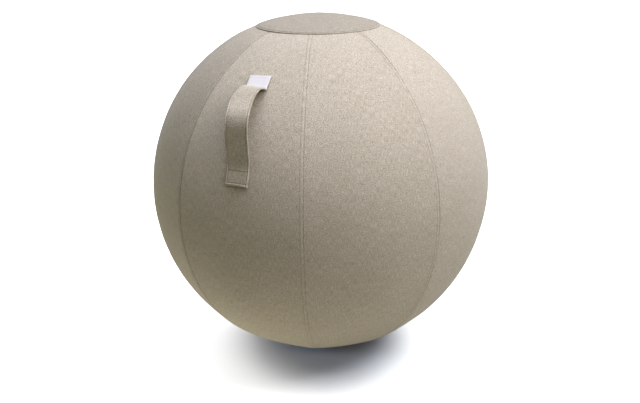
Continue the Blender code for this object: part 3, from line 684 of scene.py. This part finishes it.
at, along, normal = [], [], []
label_end = TOP_TAIL
for x0 in (-EDGE_ROW, EDGE_ROW):
    nq = int((box_low - label_end - 1.0 * MM) / (3.2 * MM))
    q = label_end + 1.0 * MM + (box_low - label_end - 1.0 * MM) * (np.arange(nq) + 0.5) / nq
    a, l, nr = on_strap(q, np.full(nq, x0), True, 0.12 * MM)
    at.append(a), along.append(l), normal.append(nr)
for row in (box_low, box_high):
    nx = int(2 * EDGE_ROW / (3.2 * MM))
    x = -EDGE_ROW + 2 * EDGE_ROW * (np.arange(nx) + 0.5) / nx
    a, l, nr = on_strap(np.full(nx, row), x, True, 0.12 * MM)
    at.append(a), along.append(np.broadcast_to(strap_b, a.shape)), normal.append(nr)
strap_st = stitches("strap_topstitch", np.concatenate(at), np.concatenate(along), np.concatenate(normal), THREAD, 2.6 * MM, 0.26 * MM)
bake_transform(strap_st)


def label_material():
    """White woven tab: fine ribs across, a soft satin face."""
    m, t, b = nodes_of("white_woven_tab")
    rib = add(t, "ShaderNodeTexWave", {"Vector": scaled_uv(t, 1, 1), "Scale": 480.0, "Distortion": 0.8, "Detail": 1.0}, wave_type="BANDS", bands_direction="Y").outputs["Fac"]
    fleck = noise(t, scaled_uv(t, 700, 2100), 2.0, 0.5)
    mix = math_node(t, "MULTIPLY_ADD", rib, 0.35, math_node(t, "MULTIPLY", fleck, 0.65))
    t.links.new(ramp(t, mix, [(0.25, (0.51, 0.50, 0.506)), (0.7, (0.597, 0.588, 0.59))]), b.inputs["Base Color"])
    b.inputs["Roughness"].default_value = 0.62
    b.inputs["Sheen Weight"].default_value = 0.15
    bump = add(t, "ShaderNodeBump", {"Height": mix, "Strength": 0.35, "Distance": 0.0002})
    t.links.new(bump.outputs[0], b.inputs["Normal"])
    return m


LABEL_W, LABEL_L = 41.4 * MM, 26.0 * MM
lx = LABEL_W / 2 * np.array([-1, -0.985, -0.96, -0.93, -0.9, -0.8, -0.6, -0.3, 0, 0.3, 0.6, 0.8, 0.9, 0.93, 0.96, 0.985, 1])
lq = np.concatenate([[0, 0.15, 0.4, 0.8, 1.3, 1.9, 2.6], np.linspace(4, LABEL_L / MM - 4, 12), LABEL_L / MM - np.array([2.6, 1.9, 1.3, 0.8, 0.4, 0.15, 0])]) * MM - 0.4 * MM
X, Q = np.broadcast_arrays(lx[None], lq[:, None])
base_s = Q - TOP_TAIL + skew(Q) * X / half
top_of_strap = 0.35 * MM + STRAP_T
e_side = np.clip((LABEL_W / 2 - np.abs(X)) / (0.8 * MM), 0, 1)
e_end = np.clip(np.minimum(Q + 0.4 * MM, LABEL_L - 0.4 * MM - Q) / (0.9 * MM), 0, 1)
thick = (0.55 * MM + 0.25 * MM * (1 - smooth((np.minimum(Q, LABEL_L - Q) - 4 * MM) / (2 * MM)))) * np.sqrt(np.clip(1 - (1 - e_end) ** 2, 0.02, 1)) * (0.35 + 0.65 * e_side)
sag = 0.5 * MM * (1 - smooth((np.abs(X) - 17 * MM) / (4 * MM)))
lift = top_of_strap - 0.25 * MM + sag * 0.6 + 0.10 * MM * wander(X + 0.5 * Q, 2.2, 0.03)
c, u, f = strap_frame(base_s, lift)
lab_in = c + X[..., None] * strap_b
lab_out = lab_in + u * thick[..., None]
LABEL = label_material()
label = slab("label_cloth", lab_out, lab_in, np.stack([X, Q], -1), LABEL)
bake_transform(label)
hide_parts("label_tab")


# ------------------------------------------------------------------ base disc
def grip_material():
    """Dark imitation leather with a pebbled grip face."""
    m, t, b = nodes_of("base_grip_leather")
    cell = add(t, "ShaderNodeTexVoronoi", {"Vector": scaled_uv(t, 1, 1), "Scale": 520.0}, feature="SMOOTH_F1")
    cell.inputs["Smoothness"].default_value = 0.6
    fine_n = noise(t, scaled_uv(t, 1500, 1500), 3.0, 0.6)
    scuff = noise(t, scaled_uv(t, 24, 24), 4.0, 0.65)
    t.links.new(ramp(t, scuff, [(0.35, (0.050, 0.045, 0.040)), (0.7, (0.085, 0.078, 0.070))]), b.inputs["Base Color"])
    rough = add(t, "ShaderNodeMapRange", {"Value": scuff, "From Min": 0.3, "From Max": 0.7, "To Min": 0.45, "To Max": 0.65}).outputs[0]
    t.links.new(rough, b.inputs["Roughness"])
    relief = math_node(t, "MULTIPLY_ADD", fine_n, 0.25, cell.outputs["Distance"])
    bump = add(t, "ShaderNodeBump", {"Height": relief, "Strength": 0.7, "Distance": 0.0006})
    t.links.new(bump.outputs[0], b.inputs["Normal"])
    return m


GRIP = grip_material()
cols = 240
p = np.arange(cols) * 2 * np.pi / cols
RIM = 0.1156
BASE_T = 2.4 * MM
rr = np.concatenate([np.linspace(6, 64, 12), np.linspace(66, 76, 9), np.linspace(79, 108, 9), 115.6 - np.array([6.4, 5.4, 4.4, 3.2, 2.2, 1.4, 0.8, 0.3, 0.0])]) * MM
# the flat meets the ball's curve at its edge, with close rings there
curve = ZC - np.sqrt(R * R - rr**2)
z = np.where(rr < FLAT_R, 0, curve)
z = np.maximum(z, 0)
from_rim = RIM - rr
z_out = z + 1.1 * MM * bell(from_rim, 0, 0.9 * MM) + 0.5 * MM * bell(from_rim, 4.6 * MM, 0.9 * MM) - 0.15 * MM * bell(from_rim, 2.2 * MM, 1.0 * MM)
z_in = z + BASE_T
outer = np.stack([rr[:, None] * np.sin(p), -rr[:, None] * np.cos(p), np.broadcast_to(z_out[:, None], (len(rr), cols))], -1)
inner = np.stack([rr[:, None] * np.sin(p), -rr[:, None] * np.cos(p), np.broadcast_to(z_in[:, None], (len(rr), cols))], -1)
uv = outer[..., :2].copy()
base = slab("base_grip_disc", outer, inner, uv, GRIP, wrap=True, pole=True)
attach(base, "base")
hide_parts("base_disc")

n_st = int(2 * np.pi * RIM / STITCH_PITCH)
ps = np.arange(n_st) * 2 * np.pi / n_st
r_st = RIM - 4.6 * MM
zst = ZC - math.sqrt(R * R - r_st**2) + 0.5 * MM - 0.12 * MM
pos = np.stack([r_st * np.sin(ps), -r_st * np.cos(ps), np.full(n_st, zst)], -1)
base_st = stitches("base_disc_topstitch", pos, side_dir(ps), out_dir(np.full(n_st, math.pi - math.asin(r_st / R)), ps), THREAD)
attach(base_st, "base")
t_st = np.full(n_st, GORE_END - STITCH_ROW / R)
nn = out_dir(t_st, ps)
hem_st = stitches("base_seam_topstitch", CENTRE + nn * (R - 0.3 * MM), side_dir(ps), nn, THREAD)
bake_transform(hem_st)


# ------------------------------------------------------------------ zip in the rear seam
zip_b = side_dir(ZIP_SEAM)


def zip_point(t, across, level):
    r = np.sqrt((R + level) ** 2 - across**2)
    return CENTRE + out_dir(t, np.full_like(np.asarray(t, float), ZIP_SEAM)) * r[..., None] + across[..., None] * zip_b


def tape_material():
    m, t, b = nodes_of("zip_tape_weave")
    rib = add(t, "ShaderNodeTexWave", {"Vector": scaled_uv(t, 1, 1), "Scale": 210.0, "Distortion": 0.4}, wave_type="BANDS", bands_direction="X").outputs["Fac"]
    pick = add(t, "ShaderNodeTexWave", {"Vector": scaled_uv(t, 1, 1), "Scale": 320.0, "Distortion": 0.8}, wave_type="BANDS", bands_direction="Y").outputs["Fac"]
    mix = math_node(t, "MULTIPLY_ADD", rib, 0.5, math_node(t, "MULTIPLY", pick, 0.5))
    t.links.new(ramp(t, mix, [(0.15, (0.17, 0.145, 0.11)), (0.8, (0.30, 0.26, 0.205))]), b.inputs["Base Color"])
    b.inputs["Roughness"].default_value = 0.85
    bump = add(t, "ShaderNodeBump", {"Height": mix, "Strength": 0.5, "Distance": 0.0002})
    t.links.new(bump.outputs[0], b.inputs["Normal"])
    return m


def coil_material():
    m, t, b = nodes_of("zip_coil_nylon")
    v = noise(t, scaled_uv(t, 300, 300), 2.0, 0.5)
    t.links.new(ramp(t, v, [(0.3, (0.19, 0.16, 0.125)), (0.7, (0.29, 0.25, 0.20))]), b.inputs["Base Color"])
    r_ = add(t, "ShaderNodeMapRange", {"Value": v, "From Min": 0.3, "From Max": 0.7, "To Min": 0.32, "To Max": 0.48}).outputs[0]
    t.links.new(r_, b.inputs["Roughness"])
    return m


TAPE, COIL = tape_material(), coil_material()
for side, sign in (("left", -1), ("right", 1)):
    tt = np.linspace(ZIP_TOP - RAD(1.3), ZIP_BOTTOM + RAD(1.3), 190)[:, None]
    across = np.linspace(0.78, 13.9, 14)[None] * MM
    T2, A2 = np.broadcast_arrays(tt, across)
    level = -2.42 * MM + 0.05 * MM * np.cos(A2 / (1.1 * MM) * 2 * np.pi)
    tape = slab(f"zip_tape_{side}_cloth", zip_point(T2, sign * A2, level), zip_point(T2, sign * A2, np.full_like(level, -2.92 * MM)), np.stack([A2, R * T2], -1), TAPE)
    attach(tape, "ball")
    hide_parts(f"zip_tape_{side}")
    float(R * (ZIP_BOTTOM - ZIP_TOP + RAD(2.6)))

    # the coil: one nylon filament wound round, each turn a flattened loop
    t0, t1 = ZIP_TOP + RAD(0.92), ZIP_BOTTOM - RAD(0.92)
    turns = int(R * (t1 - t0) / (1.7 * MM))
    per = 14
    w = np.arange(turns * per + 1) / per
    a = 2 * np.pi * w + (np.pi if sign > 0 else 0)
    cx = 1.72 * MM + 1.02 * MM * np.sign(np.cos(a)) * np.abs(np.cos(a)) ** 0.8
    cz = -1.02 * MM + 0.82 * MM * np.sin(a)
    ct = t0 + (t1 - t0) * (0.004 + 0.992 * w / turns)
    mid = zip_point(ct, sign * cx, cz)
    tang = unit(np.gradient(mid, axis=0))
    ref = out_dir(ct, np.full_like(ct, ZIP_SEAM))
    ref = unit(np.cross(down_dir(ct, np.full_like(ct, ZIP_SEAM)), tang))
    other = np.cross(tang, ref)
    sides = 7
    ang2 = np.arange(sides) * 2 * np.pi / sides
    wire = 0.26 * MM
    tube = mid[:, None] + wire * (np.cos(ang2)[None, :, None] * ref[:, None] + np.sin(ang2)[None, :, None] * other[:, None])
    ids = np.arange(len(mid) * sides).reshape(len(mid), sides)
    uvc = np.stack([np.broadcast_to(w[:, None] * 3 * MM, ids.shape), np.broadcast_to(ang2[None] * MM, ids.shape)], -1)
    coil = mesh_object(f"zip_coil_{side}_wire", tube.reshape(-1, 3), [grid_faces(ids, True), np.stack([ids[0][::-1], ids[-1]])], uvc.reshape(-1, 2), COIL)
    face_out(coil)
    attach(coil, "ball")
    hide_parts(f"zip_coil_{side}")


def metal_material():
    """Satin cast zinc with faint tumbling marks."""
    m, t, b = nodes_of("zip_cast_zinc")
    co = add(t, "ShaderNodeTexCoord").outputs["Object"]
    n1 = add(t, "ShaderNodeTexNoise", {"Vector": co, "Scale": 900.0, "Detail": 4.0, "Roughness": 0.6}).outputs["Fac"]
    t.links.new(ramp(t, n1, [(0.3, (0.40, 0.39, 0.37)), (0.7, (0.60, 0.59, 0.57))]), b.inputs["Base Color"])
    b.inputs["Metallic"].default_value = 1.0
    r_ = add(t, "ShaderNodeMapRange", {"Value": n1, "From Min": 0.3, "From Max": 0.7, "To Min": 0.26, "To Max": 0.42}).outputs[0]
    t.links.new(r_, b.inputs["Roughness"])
    bump = add(t, "ShaderNodeBump", {"Height": n1, "Strength": 0.12, "Distance": 0.0002})
    t.links.new(bump.outputs[0], b.inputs["Normal"])
    return m


ZINC = metal_material()


def dress(node, material, bevel=None):
    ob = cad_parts[node]
    ob.data.materials.clear()
    ob.data.materials.append(material)
    if bevel:
        mod = ob.modifiers.new("edge", "BEVEL")
        mod.width = bevel
        mod.segments = 2
        mod.limit_method = "ANGLE"
        mod.angle_limit = RAD(50)


for node in ("zip_slider", "zip_pull", "zip_top_stop", "zip_bottom_stop"):
    dress(node, ZINC)


# ------------------------------------------------------------------ inner ball and plug
def pvc_material(name, lo, hi, rough):
    m, t, b = nodes_of(name)
    co = add(t, "ShaderNodeTexCoord").outputs["Object"]
    n1 = add(t, "ShaderNodeTexNoise", {"Vector": co, "Scale": 60.0, "Detail": 3.0}).outputs["Fac"]
    t.links.new(ramp(t, n1, [(0.35, lo), (0.65, hi)]), b.inputs["Base Color"])
    b.inputs["Roughness"].default_value = rough
    n2 = add(t, "ShaderNodeTexNoise", {"Vector": co, "Scale": 1400.0, "Detail": 2.0}).outputs["Fac"]
    bump = add(t, "ShaderNodeBump", {"Height": n2, "Strength": 0.1, "Distance": 0.0003})
    t.links.new(bump.outputs[0], b.inputs["Normal"])
    return m


PVC = pvc_material("bladder_soft_pvc", (0.37, 0.39, 0.41), (0.45, 0.47, 0.49), 0.42)
PLUG = pvc_material("valve_plug_plastic", (0.78, 0.78, 0.75), (0.86, 0.86, 0.83), 0.45)
dress("valve_plug", PLUG)

BR, BT = R - 4.6 * MM, 1.1 * MM
seat_r, seat_d, hole_r, neck = 13 * MM, 3 * MM, 4.6 * MM, 18 * MM
seat_z = math.sqrt(BR * BR - seat_r * seat_r)
floor_z = seat_z - seat_d
outline = []
for a in np.linspace(math.pi - 0.012, math.asin(seat_r / BR), 90):
    # fine moulded rings on the ball
    ringed = 0.12 * MM * math.cos(a * BR / (6 * MM) * 2 * math.pi) * (1 if 0.5 < a < 2.64 else 0)
    rad = BR - 0.15 * MM + ringed * 0.4
    outline.append((rad * math.sin(a), rad * math.cos(a)))
outline += [(seat_r, seat_z - 0.6 * MM), (seat_r, floor_z), (hole_r, floor_z), (hole_r, seat_z - neck), (hole_r + 4.9 * MM, seat_z - neck), (hole_r + 4.9 * MM, floor_z - 1.5 * MM), (seat_r + 1.5 * MM, floor_z - 1.5 * MM)]
ir = BR - BT
for a in np.linspace(math.asin((seat_r + 1.5 * MM) / ir), math.pi - 0.012, 60):
    outline.append((ir * math.sin(a), ir * math.cos(a)))
outline = np.array(outline)
cols = 96
a = np.arange(cols) * 2 * np.pi / cols
pts = np.stack([outline[:, 0, None] * np.cos(a), outline[:, 0, None] * np.sin(a), np.broadcast_to(outline[:, 1, None], (len(outline), cols))], -1)
turn = np.array(Vector((0, 0, 1)).rotation_difference(Vector(out_dir(RAD(96.0), RAD(117.0)))).to_matrix())
inside = np.linalg.norm(pts, axis=-1) < BR - 0.6 * MM
pts = pts @ turn.T + CENTRE
floor = np.where(inside, 3.1 * MM + BT, 3.1 * MM)
soft = 2.0 * MM
pts[..., 2] = floor + soft * np.logaddexp(0, (pts[..., 2] - floor) / soft) - soft * np.log(2) * np.exp(-np.abs(pts[..., 2] - floor) / soft) * 0
ids = np.arange(len(outline) * cols).reshape(len(outline), cols)
uvb = np.stack([np.broadcast_to(a[None] * BR, ids.shape), np.broadcast_to(np.arange(len(outline))[:, None] * 5 * MM, ids.shape)], -1)
bladder = mesh_object("inner_ball", pts.reshape(-1, 3), [grid_faces(ids, True), np.stack([ids[0], ids[-1][::-1]])], uvb.reshape(-1, 2), PVC, 40)
face_out(bladder)
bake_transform(bladder)
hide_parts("bladder")


# ------------------------------------------------------------------ floor, light and camera
def floor_material():
    m, t, b = nodes_of("studio_floor")
    co = add(t, "ShaderNodeTexCoord").outputs["Object"]
    n1 = add(t, "ShaderNodeTexNoise", {"Vector": co, "Scale": 3.0, "Detail": 2.0}).outputs["Fac"]
    t.links.new(ramp(t, n1, [(0.3, (0.415, 0.418, 0.425)), (0.7, (0.425, 0.428, 0.435))]), b.inputs["Base Color"])
    b.inputs["Roughness"].default_value = 0.8
    b.inputs["Specular IOR Level"].default_value = 0.1
    return m


fm = bpy.data.meshes.new("studio_floor")
s = 30.0
fm.from_pydata([(-s, -s, -0.0005), (s, -s, -0.0005), (s, s, -0.0005), (-s, s, -0.0005)], [], [(0, 1, 2, 3)])
fm.materials.append(floor_material())
floor = bpy.data.objects.new("studio_floor", fm)
bpy.context.scene.collection.objects.link(floor)
floor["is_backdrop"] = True
floor.visible_diffuse = False
floor.visible_shadow = False

wall_m, wall_t, wall_b = nodes_of("studio_wall")
wall_b.inputs["Base Color"].default_value = (0.8, 0.8, 0.8, 1)
wall_b.inputs["Emission Color"].default_value = (1, 1, 1, 1)
wall_b.inputs["Emission Strength"].default_value = 1.0
wall_n = 96
wall_p = np.arange(wall_n) * 2 * np.pi / wall_n
wall_v = np.stack([np.stack([26 * np.sin(wall_p), -26 * np.cos(wall_p), np.full(wall_n, z_)], -1) for z_ in (-0.01, 14.0)])
wall = mesh_object("studio_wall", wall_v.reshape(-1, 3), [grid_faces(np.arange(2 * wall_n).reshape(2, wall_n), True)], wall_v.reshape(-1, 3)[:, :2], wall_m)
wall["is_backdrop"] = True
wall.visible_diffuse = wall.visible_shadow = wall.visible_glossy = False

CAM_AZ = RAD(5.40)


def lamp_dir(az, el):
    """Direction to a light, from the camera's own azimuth (positive to the right)."""
    az, el = RAD(az) + CAM_AZ, RAD(el)
    return Vector((math.cos(el) * math.sin(az), -math.cos(el) * math.cos(az), math.sin(el)))


def sun(name, az, el, strength, angle, colour=(1, 1, 1)):
    d = bpy.data.lights.new(name, "SUN")
    d.energy, d.angle, d.color = strength, RAD(angle), colour
    o = bpy.data.objects.new(name, d)
    o.rotation_euler = lamp_dir(az, el).to_track_quat("Z", "Y").to_euler()
    bpy.context.scene.collection.objects.link(o)
    return o


# the object's own lights leave the floor out, and the floor has lights of its own, so that
# the shadow stays close under the ball
object_side = bpy.data.collections.new("lit_by_object_lamps")
object_side.objects.link(floor)
object_side.collection_objects[0].light_linking.link_state = "EXCLUDE"
floor_side = bpy.data.collections.new("lit_by_floor_lamps")
floor_side.objects.link(floor)

HIGH, SIDE, LOW, WARM = (1.025, 0.98, 1.22), (1.055, 0.985, 1.06), (1.055, 0.993, 0.86), (1.08, 0.99, 0.80)
for name, az, el, power, angle, colour in (
    ("key_overhead", 135, 78, 2.60, 40, HIGH),
    ("key_side", 103, 65, 0.85, 40, HIGH),
    ("fill_left", -90, 65, 0.76, 40, (0.94, 1.04, 0.97)),
    ("side_high", 84, 48, 1.36, 40, (0.96, 1.03, 1.09)),
    ("front_side", 60, 30, 1.43, 40, SIDE),
    ("front", 30, 30, 0.76, 40, (1.07, 0.99, 0.92)),
    ("bounce_left", -120, -50, 0.78, 40, WARM),
    ("bounce_low", -90, -50, 0.73, 40, WARM),
):
    sun(name, az, el, power, angle, colour).light_linking.receiver_collection = object_side
PALE, COOL = (1.02, 1.0, 0.96), (0.80, 1.0, 1.42)
for name, az, el, power, angle, colour in (
    ("floor_right", 90, 50, 5.46, 30, PALE),
    ("floor_left", -90, 50, 1.99, 30, PALE),
    ("floor_back_right", 120, 50, 3.15, 30, PALE),
    ("floor_back_left", -120, 50, 4.25, 30, PALE),
    ("floor_low_right", 120, 30, 1.63, 30, COOL),
    ("floor_low_left", -120, 30, 2.57, 30, PALE),
    ("floor_low_back", 150, 30, 2.99, 30, PALE),
    ("floor_front_low", -60, 14, 2.05, 30, COOL),
    ("floor_behind", 180, 14, 0.63, 30, COOL),
    ("floor_top", -15, 68, 0.55, 30, PALE),
):
    sun(name, az, el, power, angle, colour).light_linking.receiver_collection = floor_side

# light thrown up by the floor around the ball, weaker where the ball shades the floor
for name, size, power in (("bounce_near", 1.0, 1.72), ("bounce_far", 1.6, 0.86)):
    card = bpy.data.lights.new(name, "AREA")
    card.shape, card.size, card.energy, card.color = "DISK", size, power, LOW
    card.use_nodes = True
    lamp_tree = card.node_tree
    spot = add(lamp_tree, "ShaderNodeVectorMath", {0: add(lamp_tree, "ShaderNodeNewGeometry").outputs["Parametric"], 1: (0.5, 0.5, 0.0)}, operation="DISTANCE").outputs["Value"]
    lit = add(lamp_tree, "ShaderNodeMapRange", {"Value": spot, "From Min": 0.12 / size, "From Max": 0.42 / size, "To Min": 0.0, "To Max": 1.0}, interpolation_type="SMOOTHSTEP").outputs[0]
    lamp_tree.links.new(lit, lamp_tree.nodes["Emission"].inputs["Strength"])
    card_ob = bpy.data.objects.new(name, card)
    card_ob.location = (0.08, 0, -0.02)
    card_ob.rotation_euler = (math.pi, 0, 0)
    bpy.context.scene.collection.objects.link(card_ob)
    card_ob.light_linking.receiver_collection = object_side

world = bpy.data.worlds.new("studio")
bpy.context.scene.world = world
world.use_nodes = True
wt = world.node_tree
bg = wt.nodes["Background"]
bg.inputs["Color"].default_value = (1.03, 1.0, 0.80, 1)
bg.inputs["Strength"].default_value = 0.10

DIST, ELEV, FOCAL, ROLL, YAW, PITCH = 6.83 * R, RAD(16.06), 1128.5, RAD(-0.79), RAD(-0.03), RAD(-1.05)
ce, se = math.cos(ELEV), math.sin(ELEV)
fwd_ = Vector((0, ce, -se)); right_ = Vector((1, 0, 0)); up_ = Vector((0, se, ce))
f2 = math.cos(YAW) * fwd_ + math.sin(YAW) * right_
r2 = -math.sin(YAW) * fwd_ + math.cos(YAW) * right_
f3 = math.cos(PITCH) * f2 + math.sin(PITCH) * up_
u3 = -math.sin(PITCH) * f2 + math.cos(PITCH) * up_
r4 = math.cos(ROLL) * r2 + math.sin(ROLL) * u3
u4 = -math.sin(ROLL) * r2 + math.cos(ROLL) * u3
about_z = Matrix.Rotation(CAM_AZ, 3, "Z")
axes = Matrix((about_z @ r4, about_z @ u4, about_z @ -f3)).transposed()
cam_data = bpy.data.cameras.new("camera")
cam_data.sensor_width = 36.0
cam_data.sensor_fit = "HORIZONTAL"
cam_data.lens = FOCAL * 36.0 / 640.0
cam = bpy.data.objects.new("camera", cam_data)
m4 = axes.to_4x4()
m4.translation = about_z @ Vector((0, -DIST * ce, DIST * se)) + Vector((0, 0, ZC))
cam.matrix_world = m4
bpy.context.scene.collection.objects.link(cam)
bpy.context.scene.camera = cam

scene = bpy.context.scene
scene.view_settings.view_transform = "Standard"
scene.view_settings.look = "None"

{"cad": cad_box, "visual": [list(map(float, c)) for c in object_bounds()]}
